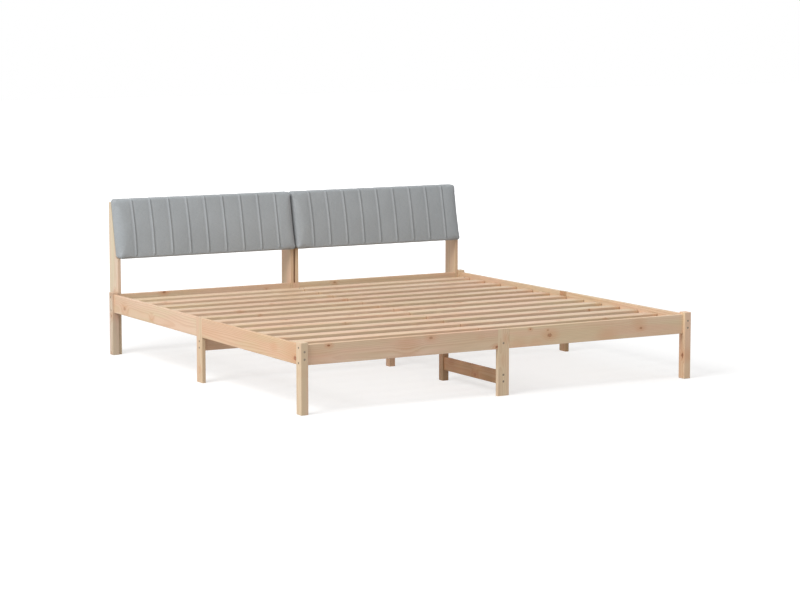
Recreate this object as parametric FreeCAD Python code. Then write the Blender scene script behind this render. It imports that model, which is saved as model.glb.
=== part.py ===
import FreeCAD, Part
import math
import os

# Low platform bed frame in pine, with two padded cushions on leaning head uprights.
# Millimetres. X is the width, +Y runs from the foot to the head, +Z is up.
# The origin is on the floor, under the middle of the whole frame.

# Overall sizes, the length over the legs
frame_width = 2055.0
frame_length = 2070.0

# Square corner legs
corner_leg_width = 36.0
foot_leg_depth = 45.0
head_leg_depth = 40.0
corner_leg_height = 313.0
leg_rounding = 3.0
leg_end_bevel = 1.5

# Boards of the rails, on edge, centred on the corner legs
board_thickness = 18.0
rail_height = 90.0
rail_bottom = 213.0
rail_rounding = 2.5
hidden_bevel = 1.5

# Flat board legs in the middle of each side
board_leg_width = 60.0

# Beams, posts and low boards under the slats
slat_seat_height = 268.0
beam_height = 60.0
centre_beam_width = 32.0
post_depth = 36.0
stretcher_height = 60.0
stretcher_bottom = 50.0
splice_length = 200.0
tie_board_reach = 150.0

# Slats, their webbing and the cleats that carry them
cleat_size = 30.0
slat_width = 70.0
slat_thickness = 14.0
slat_rows = 13
slat_end_margin = 42.0
slat_side_clearance = 5.0
slat_centre_gap = 4.0
slat_bevel = 2.0
webbing_width = 25.0
webbing_thickness = 1.2
webbing_place_shares = (0.16, 0.84)

# Head uprights, boards on edge with a ledge and a slanted front above it
upright_overhang = 75.0
upright_depth = 104.5
upright_height = 757.0
upright_top_depth = 26.0
ledge_height = 481.0
ledge_depth = 21.3
upright_gap = 10.0

# Rails behind the cushions, laid along the slant
headboard_rail_height = 60.0
headboard_rail_starts = {"lower": 40.0, "upper": 170.0}

# Cushions, measured level and upright
cushion_height = 293.0
cushion_depth = 51.0
cushion_gap = 8.0
cushion_end_inset = 1.0
cushion_crown = 5.0
cushion_edge_draw = 11.0
cushion_side_draw = 2.5
cushion_corner_rounding = 10.0
channel_pitch = 100.0
channel_crown = 3.5
narrowest_channel = 50.0

# One row for each level of a cushion: its height, then how much of the edge draw,
# of the crown and side draw, and of the channels' crown it has there
cushion_level_shares = (
    (0.0, 1.0, 0.0, 0.15),
    (0.02, 0.4, 0.0, 0.5),
    (0.07, 0.0, 0.2, 1.0),
    (0.3, 0.0, 0.84, 1.0),
    (0.5, 0.0, 1.0, 1.0),
    (0.7, 0.0, 0.84, 1.0),
    (0.93, 0.0, 0.2, 0.8),
    (0.98, 0.4, 0.0, 0.35),
    (1.0, 1.0, 0.0, 0.15),
)

# Plywood boards inside the backs of the cushions
cushion_board_thickness = 9.0
cushion_board_border = 12.0
cushion_board_clearance = 0.3

# Connector screws with a hexagon socket, sunk in the legs
screw_radius = 3.0
screw_head_radius = 5.0
screw_head_length = 5.0
screw_socket_radius = 2.6
screw_socket_depth = 3.0
screw_grip = 42.0
screw_sink = 0.6
screw_clearance = 0.3
foot_rail_screw_shares = (0.125, 0.86)
side_rail_screw_shares = (0.3, 0.67)
board_screw_shares = (0.25, 0.75)
centre_beam_screw_shares = (0.5,)

# One length for every cut that runs past a face
overrun = 2.0

# Places that follow from the sizes above
half_width = frame_width / 2
foot_face = -(frame_length + upright_overhang) / 2
head_face = foot_face + frame_length
middle_y = (foot_face + head_face) / 2
half_board = board_thickness / 2
half_board_leg = board_leg_width / 2
half_beam = centre_beam_width / 2
rail_top = rail_bottom + rail_height
centre_beam_bottom = slat_seat_height - beam_height
cross_beam_bottom = centre_beam_bottom - beam_height

leg_inner = half_width - corner_leg_width
side_rail_outer = half_width - (corner_leg_width - board_thickness) / 2
side_rail_inner = side_rail_outer - board_thickness
upright_inner = leg_inner - board_thickness
centre_upright_inner = upright_gap / 2
centre_upright_outer = centre_upright_inner + board_thickness

foot_leg_back = foot_face + foot_leg_depth
foot_rail_front = foot_face + (foot_leg_depth - board_thickness) / 2
foot_rail_back = foot_rail_front + board_thickness
head_leg_front = head_face - head_leg_depth
head_rail_front = head_leg_front + (head_leg_depth - board_thickness) / 2
head_rail_back = head_rail_front + board_thickness
foot_post_y = (foot_rail_back + middle_y) / 2
head_post_y = (head_rail_front + middle_y) / 2

upright_back = head_face + upright_overhang
upright_front = upright_back - upright_depth
slant_foot = upright_front + ledge_depth
slant_run = upright_back - upright_top_depth - slant_foot
slant_slope = slant_run / (upright_height - ledge_height)
slant_angle = math.atan(slant_slope)

X = FreeCAD.Vector(1, 0, 0)
Y = FreeCAD.Vector(0, 1, 0)
Z = FreeCAD.Vector(0, 0, 1)
ORIGIN = FreeCAD.Vector(0, 0, 0)
SIDES = ((-1, "left"), (1, "right"))

pieces = {}
screws = []


def block(x_range, y_range, z_range):
    """A plain block between two planes along each axis, given in either order."""
    low = FreeCAD.Vector(min(x_range), min(y_range), min(z_range))
    high = FreeCAD.Vector(max(x_range), max(y_range), max(z_range))
    size = high - low
    return Part.makeBox(size.x, size.y, size.z, low)


def edges_along(shape, direction):
    """The straight edges of a shape that run along one axis."""
    found = []
    for edge in shape.Edges:
        run = edge.Vertexes[-1].Point - edge.Vertexes[0].Point
        if math.isclose(abs(run.dot(direction)), run.Length) and run.Length > 0:
            found.append(edge)
    return found


def rounded(shape, direction):
    """Planed timber that shows: its long edges are rounded over."""
    return shape.makeFillet(rail_rounding, edges_along(shape, direction))


def bevelled(shape, direction, bevel=hidden_bevel):
    """Planed timber out of sight: its long edges are only broken."""
    return shape.makeChamfer(bevel, edges_along(shape, direction))


def mirrored(side, shape):
    """A shape made on the right, or its mirror image on the left."""
    if side > 0:
        return shape
    return shape.mirror(ORIGIN, X)


def square_leg(y_range):
    """A right corner leg with rounded edges and bevelled ends."""
    leg = block((leg_inner, half_width), y_range, (0, corner_leg_height))
    leg = leg.makeFillet(leg_rounding, edges_along(leg, Z))
    mid_height = corner_leg_height / 2
    ends = []
    for edge in leg.Edges:
        heights = [vertex.Z > mid_height for vertex in edge.Vertexes]
        if len(set(heights)) == 1:
            ends.append(edge)
    return leg.makeChamfer(leg_end_bevel, ends)


def make_legs():
    """Corner legs, and the flat board legs in the plane of the rails."""
    for side, name in SIDES:
        pieces["foot_leg_" + name] = mirrored(side, square_leg((foot_face, foot_leg_back)))
        pieces["head_leg_" + name] = mirrored(side, square_leg((head_leg_front, head_face)))
        mid_leg = block(
            (side_rail_inner, side_rail_outer),
            (middle_y - half_board_leg, middle_y + half_board_leg),
            (0, rail_top),
        )
        pieces["mid_leg_" + name] = mirrored(side, bevelled(mid_leg, Z))
    across = (-half_board_leg, half_board_leg)
    for name, y_range in (
        ("foot_centre_leg", (foot_rail_front, foot_rail_back)),
        ("head_centre_leg", (head_rail_front, head_rail_back)),
    ):
        pieces[name] = bevelled(block(across, y_range, (0, rail_top)), Z)


def make_rails():
    """Foot, head and side rails, each in two halves that butt a board leg."""
    heights = (rail_bottom, rail_top)
    for side, name in SIDES:
        foot = block((half_board_leg, leg_inner), (foot_rail_front, foot_rail_back), heights)
        head = block((half_board_leg, upright_inner), (head_rail_front, head_rail_back), heights)
        pieces["foot_rail_" + name] = mirrored(side, rounded(foot, X))
        pieces["head_rail_" + name] = mirrored(side, bevelled(head, X))
        for end, y_range in (
            ("foot", (foot_leg_back, middle_y - half_board_leg)),
            ("head", (middle_y + half_board_leg, head_leg_front)),
        ):
            rail = block((side_rail_inner, side_rail_outer), y_range, heights)
            pieces["side_rail_" + name + "_" + end] = mirrored(side, rounded(rail, Y))


def make_beams():
    """Cross beam on the middle post, and the centre beam on top of it."""
    cross_heights = (cross_beam_bottom, centre_beam_bottom)
    centre_heights = (centre_beam_bottom, slat_seat_height)
    for side, name in SIDES:
        half = block((0, side_rail_inner), (middle_y - half_board, middle_y + half_board), cross_heights)
        pieces["cross_beam_" + name] = mirrored(side, bevelled(half, X))
    for end, y_range in (
        ("foot", (foot_rail_back, middle_y)),
        ("head", (middle_y, head_rail_front)),
    ):
        half = block((-half_beam, half_beam), y_range, centre_heights)
        pieces["centre_beam_" + end] = bevelled(half, Y)


def make_splice_boards():
    """Boards screwed over the joints of the beams and behind those of the rails."""
    half_splice = splice_length / 2
    boards = [
        block(
            (-half_splice, half_splice),
            (middle_y + half_board, middle_y + half_board + board_thickness),
            (cross_beam_bottom, centre_beam_bottom),
        ),
        block(
            (half_beam, half_beam + board_thickness),
            (middle_y - half_splice, middle_y + half_splice),
            (centre_beam_bottom, slat_seat_height),
        ),
    ]
    for side, name in SIDES:
        for y_range in (
            (foot_rail_back, foot_rail_back + board_thickness),
            (head_rail_front - board_thickness, head_rail_front),
        ):
            tie = block((half_beam, tie_board_reach), y_range, (rail_bottom, slat_seat_height))
            boards.append(mirrored(side, tie))
    pieces["splice_boards"] = Part.makeCompound(boards)


def make_posts():
    """Posts under the beams, and the low boards that brace them to the centre legs."""
    for name, place, height in (
        ("foot", foot_post_y, centre_beam_bottom),
        ("mid", middle_y, cross_beam_bottom),
        ("head", head_post_y, centre_beam_bottom),
    ):
        half_post = post_depth / 2
        post = block((-half_beam, half_beam), (place - half_post, place + half_post), (0, height))
        pieces["centre_post_" + name] = bevelled(post, Z)
    heights = (stretcher_bottom, stretcher_bottom + stretcher_height)
    for end, y_range in (
        ("foot", (foot_rail_back, foot_post_y - post_depth / 2)),
        ("head", (head_post_y + post_depth / 2, head_rail_front)),
    ):
        stretcher = block((-half_board, half_board), y_range, heights)
        pieces["low_stretcher_" + end] = bevelled(stretcher, Y)


def make_cleats():
    """Square cleats inside the side rails, which also tie them to the mid legs."""
    for side, name in SIDES:
        for end, y_range in (
            ("foot", (foot_leg_back, middle_y)),
            ("head", (middle_y, head_leg_front)),
        ):
            cleat = block(
                (side_rail_inner - cleat_size, side_rail_inner),
                y_range,
                (slat_seat_height - cleat_size, slat_seat_height),
            )
            pieces["slat_cleat_" + name + "_" + end] = mirrored(side, bevelled(cleat, Y))


def make_slats():
    """Rows of a left and a right slat, and the tapes under them that keep them spaced."""
    start = foot_rail_back + slat_end_margin
    stop = head_rail_front - slat_end_margin - slat_width
    pitch = (stop - start) / (slat_rows - 1)
    inner = slat_centre_gap / 2
    outer = side_rail_inner - slat_side_clearance
    top = slat_seat_height + slat_thickness
    for row in range(slat_rows):
        near = start + row * pitch
        slat = block((inner, outer), (near, near + slat_width), (slat_seat_height, top))
        slat = bevelled(slat, X, slat_bevel)
        both = [mirrored(side, slat) for side, name in SIDES]
        pieces["slat_row_%02d" % (row + 1)] = Part.makeCompound(both)
    tapes = []
    for share in webbing_place_shares:
        place = inner + share * (outer - inner)
        tape = block(
            (place - webbing_width / 2, place + webbing_width / 2),
            (start, stop + slat_width),
            (slat_seat_height - webbing_thickness, slat_seat_height),
        )
        tapes += [mirrored(side, tape) for side, name in SIDES]
    pieces["slat_webbing"] = Part.makeCompound(tapes)


def upright(x_range, foot_outline):
    """A head upright: its own foot outline, then the ledge, the slant, top and back."""
    outline = foot_outline + [
        (upright_front, ledge_height),
        (slant_foot, ledge_height),
        (upright_back - upright_top_depth, upright_height),
        (upright_back, upright_height),
        (upright_back, 0),
    ]
    points = [FreeCAD.Vector(min(x_range), y, z) for y, z in outline]
    face = Part.Face(Part.makePolygon(points + points[:1]))
    return face.extrude(X * (max(x_range) - min(x_range)))


def make_uprights():
    """Side uprights down to the floor, and centre ones that sit on the head centre leg."""
    for side, name in SIDES:
        outer = upright((upright_inner, leg_inner), [(upright_front, 0)])
        pieces["headboard_upright_" + name] = mirrored(side, rounded(outer, Z))
        notch = [
            (head_rail_back, 0),
            (head_rail_back, rail_top),
            (upright_front, rail_top),
        ]
        inner = upright((centre_upright_inner, centre_upright_outer), notch)
        pieces["headboard_centre_upright_" + name] = mirrored(side, bevelled(inner, Z))


def along_slant(shape):
    """Moves a shape drawn upright at the origin so that it leans along the slant."""
    leaning = shape.copy()
    leaning.rotate(ORIGIN, X, -math.degrees(slant_angle))
    leaning.translate(FreeCAD.Vector(0, slant_foot, ledge_height))
    return leaning


def make_headboard_rails():
    """Rails between the uprights, with their faces in the plane of the slant."""
    for side, name in SIDES:
        for level, start in headboard_rail_starts.items():
            rail = block(
                (centre_upright_outer, upright_inner),
                (0, board_thickness),
                (start, start + headboard_rail_height),
            )
            rail = along_slant(bevelled(rail, X))
            pieces["headboard_rail_" + name + "_" + level] = mirrored(side, rail)


def cushion_section(level_share, edge_share, middle_share, channel_share):
    """The outline of the right cushion at one level: flat back, crowned channels in front."""
    height = level_share * cushion_height
    draw = edge_share * cushion_edge_draw
    back = slant_foot + height * slant_slope
    front = back - cushion_depth + draw - middle_share * cushion_crown
    inner = cushion_gap / 2 + draw + middle_share * cushion_side_draw
    outer = leg_inner - cushion_end_inset - draw - middle_share * cushion_side_draw
    corner = cushion_corner_rounding
    bulge = channel_share * channel_crown
    corner_mid = corner * (1 - math.sqrt(2) / 2)

    def point(x, y):
        return FreeCAD.Vector(x, y, ledge_height + height)

    def arc(start, mid, end):
        return Part.Arc(point(*start), point(*mid), point(*end)).toShape()

    last_seam = leg_inner - cushion_end_inset - narrowest_channel
    seams = [count * channel_pitch for count in range(1, math.ceil(last_seam / channel_pitch))]
    stations = [inner + corner] + seams + [outer - corner]
    edges = [
        Part.makeLine(point(outer, back), point(inner, back)),
        Part.makeLine(point(inner, back), point(inner, front + corner)),
        arc(
            (inner, front + corner),
            (inner + corner_mid, front + corner_mid),
            (inner + corner, front),
        ),
    ]
    for start, end in zip(stations, stations[1:]):
        edges.append(arc((start, front), ((start + end) / 2, front - bulge), (end, front)))
    edges.append(
        arc(
            (outer - corner, front),
            (outer - corner_mid, front + corner_mid),
            (outer, front + corner),
        )
    )
    edges.append(Part.makeLine(point(outer, front + corner), point(outer, back)))
    return Part.Wire(edges)


def make_cushions():
    """Padded cushions with sewn upright channels, and the plywood inside their backs."""
    wires = [cushion_section(*shares) for shares in cushion_level_shares]
    cushion = Part.makeLoft(wires, True, True)
    low_x = cushion_gap / 2 + cushion_board_border
    high_x = leg_inner - cushion_end_inset - cushion_board_border
    slant_length = cushion_height / math.cos(slant_angle)
    low_z = cushion_board_border
    high_z = slant_length - cushion_board_border
    board = block((low_x, high_x), (-cushion_board_thickness, 0), (low_z, high_z))
    gap = cushion_board_clearance
    pocket = block(
        (low_x - gap, high_x + gap),
        (-cushion_board_thickness, overrun),
        (low_z - gap, high_z + gap),
    )
    cushion = cushion.cut(along_slant(pocket))
    for side, name in SIDES:
        pieces["cushion_" + name] = mirrored(side, cushion)
        pieces["cushion_board_" + name] = mirrored(side, along_slant(board))


def six_sided(radius, length):
    """A six-sided bar from the origin along Z, as wide across its corners as two radii."""
    corners = []
    for count in range(6):
        angle = math.radians(60 * count)
        corners.append(FreeCAD.Vector(math.cos(angle), math.sin(angle), 0) * radius)
    return Part.Face(Part.makePolygon(corners + corners[:1])).extrude(Z * length)


def drive_screw(point, direction, through, receiver, passed):
    """Sinks a connector screw at a point on a face, through some pieces into a receiver.

    The threaded shank and its bore are six-sided, which keeps their faces few.
    """
    pocket_depth = screw_sink + screw_head_length
    shank_end = through + screw_grip
    head = Part.makeCylinder(screw_head_radius, screw_head_length, Z * screw_sink)
    shank = six_sided(screw_radius, shank_end - pocket_depth)
    shank.translate(Z * pocket_depth)
    screw = head.fuse(shank).cut(six_sided(screw_socket_radius, screw_sink + screw_socket_depth))
    pocket_radius = screw_head_radius + screw_clearance
    pocket = Part.makeCylinder(pocket_radius, pocket_depth + overrun, Z * -overrun)
    bore = six_sided(screw_radius + screw_clearance, shank_end + screw_clearance)
    tool = pocket.fuse(bore)
    for shape in (screw, tool):
        shape.Placement = FreeCAD.Placement(point, FreeCAD.Rotation(Z, direction))
    screws.append(screw)
    for name in passed + [receiver]:
        pieces[name] = pieces[name].cut(tool)


def join_corner_legs():
    """Crossing pairs of screws in each corner leg, into both rails that meet there."""
    side_x = (side_rail_inner + side_rail_outer) / 2
    foot_y = (foot_rail_front + foot_rail_back) / 2
    head_y = (head_rail_front + head_rail_back) / 2
    for side, name in SIDES:
        inward = X * -side
        for share in foot_rail_screw_shares:
            z = rail_bottom + share * rail_height
            foot_point = FreeCAD.Vector(side * half_width, foot_y, z)
            drive_screw(foot_point, inward, corner_leg_width, "foot_rail_" + name, ["foot_leg_" + name])
            head_point = FreeCAD.Vector(side * half_width, head_y, z)
            passed = ["head_leg_" + name, "headboard_upright_" + name]
            through = corner_leg_width + board_thickness
            drive_screw(head_point, inward, through, "head_rail_" + name, passed)
        for share in side_rail_screw_shares:
            z = rail_bottom + share * rail_height
            foot_point = FreeCAD.Vector(side * side_x, foot_face, z)
            rail = "side_rail_" + name
            drive_screw(foot_point, Y, foot_leg_depth, rail + "_foot", ["foot_leg_" + name])
            head_point = FreeCAD.Vector(side * side_x, head_face, z)
            drive_screw(head_point, -Y, head_leg_depth, rail + "_head", ["head_leg_" + name])


def join_board_legs():
    """Screws through the board legs into the beams and low boards that butt them."""
    for side, name in SIDES:
        for share in board_screw_shares:
            z = cross_beam_bottom + share * beam_height
            point = FreeCAD.Vector(side * side_rail_outer, middle_y, z)
            drive_screw(point, X * -side, board_thickness, "cross_beam_" + name, ["mid_leg_" + name])
    for end, face, direction in (("foot", foot_rail_front, Y), ("head", head_rail_back, -Y)):
        leg = [end + "_centre_leg"]
        for share in centre_beam_screw_shares:
            point = FreeCAD.Vector(0, face, centre_beam_bottom + share * beam_height)
            drive_screw(point, direction, board_thickness, "centre_beam_" + end, leg)
        for share in board_screw_shares:
            point = FreeCAD.Vector(0, face, stretcher_bottom + share * stretcher_height)
            drive_screw(point, direction, board_thickness, "low_stretcher_" + end, leg)


def main():
    make_legs()
    make_rails()
    make_beams()
    make_splice_boards()
    make_posts()
    make_cleats()
    make_slats()
    make_uprights()
    make_headboard_rails()
    make_cushions()
    join_corner_legs()
    join_board_legs()
    pieces["connector_screws"] = Part.makeCompound(screws)
    os.makedirs("parts", exist_ok=True)
    for name, shape in pieces.items():
        shape.exportStep("parts/" + name + ".step")
    print(len(pieces), "nodes")


main()
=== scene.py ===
import math
import random
from collections import namedtuple

import bpy
import bmesh
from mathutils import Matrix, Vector, noise


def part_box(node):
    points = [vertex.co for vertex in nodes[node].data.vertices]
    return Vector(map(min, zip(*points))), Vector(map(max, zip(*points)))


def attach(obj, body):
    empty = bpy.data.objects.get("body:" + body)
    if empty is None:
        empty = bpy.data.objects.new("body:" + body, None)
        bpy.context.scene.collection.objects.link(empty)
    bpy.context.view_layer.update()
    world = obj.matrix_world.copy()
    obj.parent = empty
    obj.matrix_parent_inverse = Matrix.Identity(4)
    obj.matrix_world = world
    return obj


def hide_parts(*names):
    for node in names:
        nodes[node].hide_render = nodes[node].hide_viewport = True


# A low pine bed frame with two grey padded head cushions, on a pale floor.
# Metres, in the frame's own axes: +X across, +Y from the foot to the head, +Z up.

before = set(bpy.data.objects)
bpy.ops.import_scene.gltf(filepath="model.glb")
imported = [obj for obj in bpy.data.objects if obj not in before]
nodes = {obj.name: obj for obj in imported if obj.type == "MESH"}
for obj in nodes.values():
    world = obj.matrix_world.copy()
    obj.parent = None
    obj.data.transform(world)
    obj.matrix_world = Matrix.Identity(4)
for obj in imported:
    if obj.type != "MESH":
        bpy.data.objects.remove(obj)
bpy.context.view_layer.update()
collection = bpy.context.scene.collection

# Camera, fitted to the photograph's 800 by 600 frame
CAMERA_PLACE = (-5.677, -10.0099, 1.7577)
CAMERA_YAW = 29.881
CAMERA_PITCH = 7.133
CAMERA_LENS = 107.72
SENSOR_WIDTH = 36.0

# Cushions: a level depth, and a back that leans as the uprights do
CUSHION_DEPTH = 0.051
SLANT_SLOPE = 57.2 / 276.0
CUSHION_CROWN = 0.006
SIDE_DRAW = 0.002
FRONT_EDGE = 0.009
BACK_EDGE = 0.004
CORNER_EDGE = 0.016
BOARD_BORDER = 0.0117
BOARD_RECESS = 0.0096
POCKET_HAIR = 0.0004
CHANNEL_PITCH = 0.1
CHANNEL_SWELL = 0.0035
NARROWEST_CHANNEL = 0.05
MESH_PITCH = 0.0075
EDGE_PITCH = 0.0035
SEAM_OFFSETS = (-0.0110, -0.0070, -0.0035, 0.0, 0.0018, 0.0036, 0.0065)
SEAM_LIFTS = (-0.0008, 0.0002, 0.0030, 0.0052, 0.0028, -0.0020, -0.0010)
SEAM_FOOT_SHARE = 0.035
SEAM_FADE_SHARE = 0.03
SEAM_REACH_BACK = 0.016
EDGE_FADE = 0.012
CROWN_FADE = 0.045
MARK_SLIP = 0.0005
CLOTH_PRESSURE = 4.0
CLOTH_FRAMES = 20
SWELL_CAP = 0.005
SEAM_HOLD = 0.003
SIDE_HOLD = 0.013
SIMULATED_START_SHARE = 0.3
RUFFLE = 0.0005
RUFFLE_SEEDS = {"left": 6, "right": 16}

TOP_DIP = 0.0018
TOP_DIP_REACH = 0.022
TOP_DIP_START_SHARE = 0.86

# Stitches along the seams
STITCH_PITCH = 0.0052
STITCH_LENGTH = 0.0038
STITCH_RADIUS = 0.0004
STITCH_OFFSET = 0.0018
STITCHED_SHARE = 0.9

# Small fixings that the solids leave out
BOARD_THICKNESS = 0.018
HEAD_RADIUS = 0.0039
HEAD_PROUD = 0.0011
HEAD_SIDES = 24
CLEAT_SCREW_SHARES = (0.07, 0.35, 0.65, 0.93)
HEADBOARD_SCREW_SHARES = (-0.38, 0.0, 0.38)
TIE_SCREW_SHARES = (0.06, 0.4, 0.85)
SPLICE_SCREW_SHARES = (0.12, 0.36, 0.64, 0.88)
SPLICE_SCREW_RISE = 0.012
SLAT_SCREW_INSET = 0.011
MIDDLE_REACH = 0.2
STAPLE_LENGTH = 0.0105
STAPLE_RADIUS = 0.0004
STAPLE_PITCH = 0.046

# Webbing tapes under the slats
TAPE_STEP = 0.006
TAPE_SAG = 0.0014
TAPE_EDGE = 0.0005


def srgb(red, green, blue):
    """A colour given as 8-bit display values, as linear red, green, blue and alpha."""
    linear = []
    for value in (red, green, blue):
        share = value / 255
        if share <= 0.04045:
            linear.append(share / 12.92)
        else:
            linear.append(((share + 0.055) / 1.055) ** 2.4)
    return (*linear, 1.0)


class Shader:
    """One material, and short calls that add nodes to it."""

    def __init__(self, name):
        self.material = bpy.data.materials.new(name)
        self.material.use_nodes = True
        self.tree = self.material.node_tree
        self.tree.nodes.clear()
        self.surface = self.add("BsdfPrincipled")
        output = self.add("OutputMaterial")
        self.tree.links.new(self.surface.outputs["BSDF"], output.inputs["Surface"])

    def feed(self, socket, value):
        """Links a socket's value, or sets it."""
        if isinstance(value, bpy.types.NodeSocket):
            self.tree.links.new(value, socket)
        else:
            socket.default_value = value

    def add(self, kind, settings=None, inputs=None):
        """A node of one kind, with its settings, and its inputs by name or number."""
        made = self.tree.nodes.new("ShaderNode" + kind)
        for name, value in (settings or {}).items():
            setattr(made, name, value)
        for name, value in (inputs or {}).items():
            self.feed(made.inputs[name], value)
        return made

    def sum(self, operation, *values):
        """The output of a Math node."""
        made = self.add("Math", {"operation": operation}, dict(enumerate(values)))
        return made.outputs[0]

    def vector(self, operation, *values):
        """The vector output of a Vector Math node."""
        made = self.add("VectorMath", {"operation": operation}, dict(enumerate(values)))
        return made.outputs[0]

    def length(self, first, second):
        """The length of a flat vector with these two parts."""
        flat = self.add("CombineXYZ", inputs={0: first, 1: second}).outputs[0]
        return self.add("VectorMath", {"operation": "LENGTH"}, {0: flat}).outputs["Value"]

    def stretched_noise(self, place, scale, detail=2.0):
        """Noise with its own scale along each axis."""
        scaled = self.vector("MULTIPLY", place, scale)
        made = self.add("TexNoise", inputs={"Vector": scaled, "Scale": 1.0, "Detail": detail})
        return made.outputs[0]

    def ramp(self, factor, low, high, to_low=0.0, to_high=1.0):
        """A factor mapped smoothly from one range to another."""
        made = self.add(
            "MapRange",
            {"interpolation_type": "SMOOTHSTEP"},
            {"Value": factor, "From Min": low, "From Max": high, "To Min": to_low, "To Max": to_high},
        )
        return made.outputs[0]

    def blend(self, factor, first, second, kind="MIX"):
        """Two colours mixed by a factor."""
        made = self.add("Mix", {"data_type": "RGBA", "blend_type": kind})
        self.feed(made.inputs[0], factor)
        self.feed(made.inputs[6], first)
        self.feed(made.inputs[7], second)
        return made.outputs[2]

    def shaded(self, colour, shade):
        """A colour multiplied by a grey factor."""
        grey = self.add("CombineColor", inputs={0: shade, 1: shade, 2: shade}).outputs[0]
        return self.blend(1.0, colour, grey, "MULTIPLY")

    def base(self, name, value):
        """Sets or links an input of the surface shader."""
        self.feed(self.surface.inputs[name], value)

    def bump(self, height, distance, strength=1.0):
        """Bump in metres on the surface shader."""
        inputs = {"Height": height, "Distance": distance, "Strength": strength}
        self.base("Normal", self.add("Bump", inputs=inputs).outputs["Normal"])


# Pine

EARLY_WOOD = srgb(225, 200, 172)
LATE_WOOD = srgb(205, 171, 138)
WARM_WOOD = srgb(217, 179, 146)
KNOT_WOOD = srgb(176, 116, 76)
KNOT_RIM = srgb(120, 62, 38)
KNOT_HALO = srgb(208, 148, 104)
ROSY_CAST = (1.03, 0.965, 0.965, 1.0)
YELLOW_CAST = (0.975, 1.0, 0.945, 1.0)

# A knot weaker than this only tints the wood
FAINT_KNOT = 0.45

# A knot's outline: how short it is along the grain, and how much it wobbles
KNOT_GRAIN_SHARE = 0.62
KNOT_WOBBLE_SHARE = 0.9


def board_axes(name, grain):
    """The numbers of the axes along a board's grain, across it and through its thickness."""
    low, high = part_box(name)
    along = "xyz".index(grain)
    others = [axis for axis in range(3) if axis != along]
    others.sort(key=lambda axis: low[axis] - high[axis])
    return along, others[0], others[1]


def knot_marks(wood, along, across, shifted, knots):
    """How strongly a place lies in a knot, on its rim, and in the tinted wood around one."""
    core = 0.0
    rim = 0.0
    halo = 0.0
    for knot_along, knot_across, radius, strength in knots:
        run = wood.sum("MULTIPLY", wood.sum("SUBTRACT", along, knot_along), KNOT_GRAIN_SHARE)
        rise = wood.sum("SUBTRACT", across, knot_across)
        uneven = wood.stretched_noise(shifted, (90, 90, 90))
        wobble = wood.sum("MULTIPLY", uneven, radius * KNOT_WOBBLE_SHARE)
        reach = wood.sum("ADD", wood.length(run, rise), wobble)
        share = wood.sum("DIVIDE", reach, radius)
        halo = wood.sum("MAXIMUM", halo, wood.ramp(share, 4.5, 0.9, 0.0, min(1.0, strength * 1.3)))
        if strength > FAINT_KNOT:
            core = wood.sum("MAXIMUM", core, wood.ramp(share, 1.3, 0.7, 0.0, strength))
            outer_rim = wood.ramp(share, 1.35, 1.0, 0.0, strength)
            rim = wood.sum("MAXIMUM", rim, wood.sum("MULTIPLY", outer_rim, wood.ramp(share, 0.45, 1.0)))
    return core, rim, halo


def growth_rings(wood, name, axes, across, deep, shifted, halo, dice):
    """How far a place lies in late wood, in rings round a pith beside the board."""
    low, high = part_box(name)
    middle = (low + high) / 2
    pith_across = middle[axes[1]] + dice.choice((-0.06, -0.02, 0.015, 0.055))
    pith_deep = middle[axes[2]] + dice.choice((-1, 1)) * dice.uniform(0.05, 0.09)
    radius = wood.length(wood.sum("SUBTRACT", across, pith_across), wood.sum("SUBTRACT", deep, pith_deep))
    drift = wood.sum("MULTIPLY", wood.stretched_noise(shifted, (0.9, 7.0, 7.0)), 0.034)
    waver = wood.sum("MULTIPLY", wood.stretched_noise(shifted, (5.0, 40.0, 40.0)), 0.0035)
    flow = wood.sum("MULTIPLY", halo, 0.009)
    bent = wood.sum("ADD", wood.sum("ADD", radius, drift), wood.sum("ADD", waver, flow))
    rings = wood.sum("FRACT", wood.sum("DIVIDE", bent, dice.uniform(0.0042, 0.0056)))
    return wood.sum("MULTIPLY", wood.ramp(rings, 0.25, 0.88), wood.ramp(rings, 1.0, 0.9))


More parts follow.
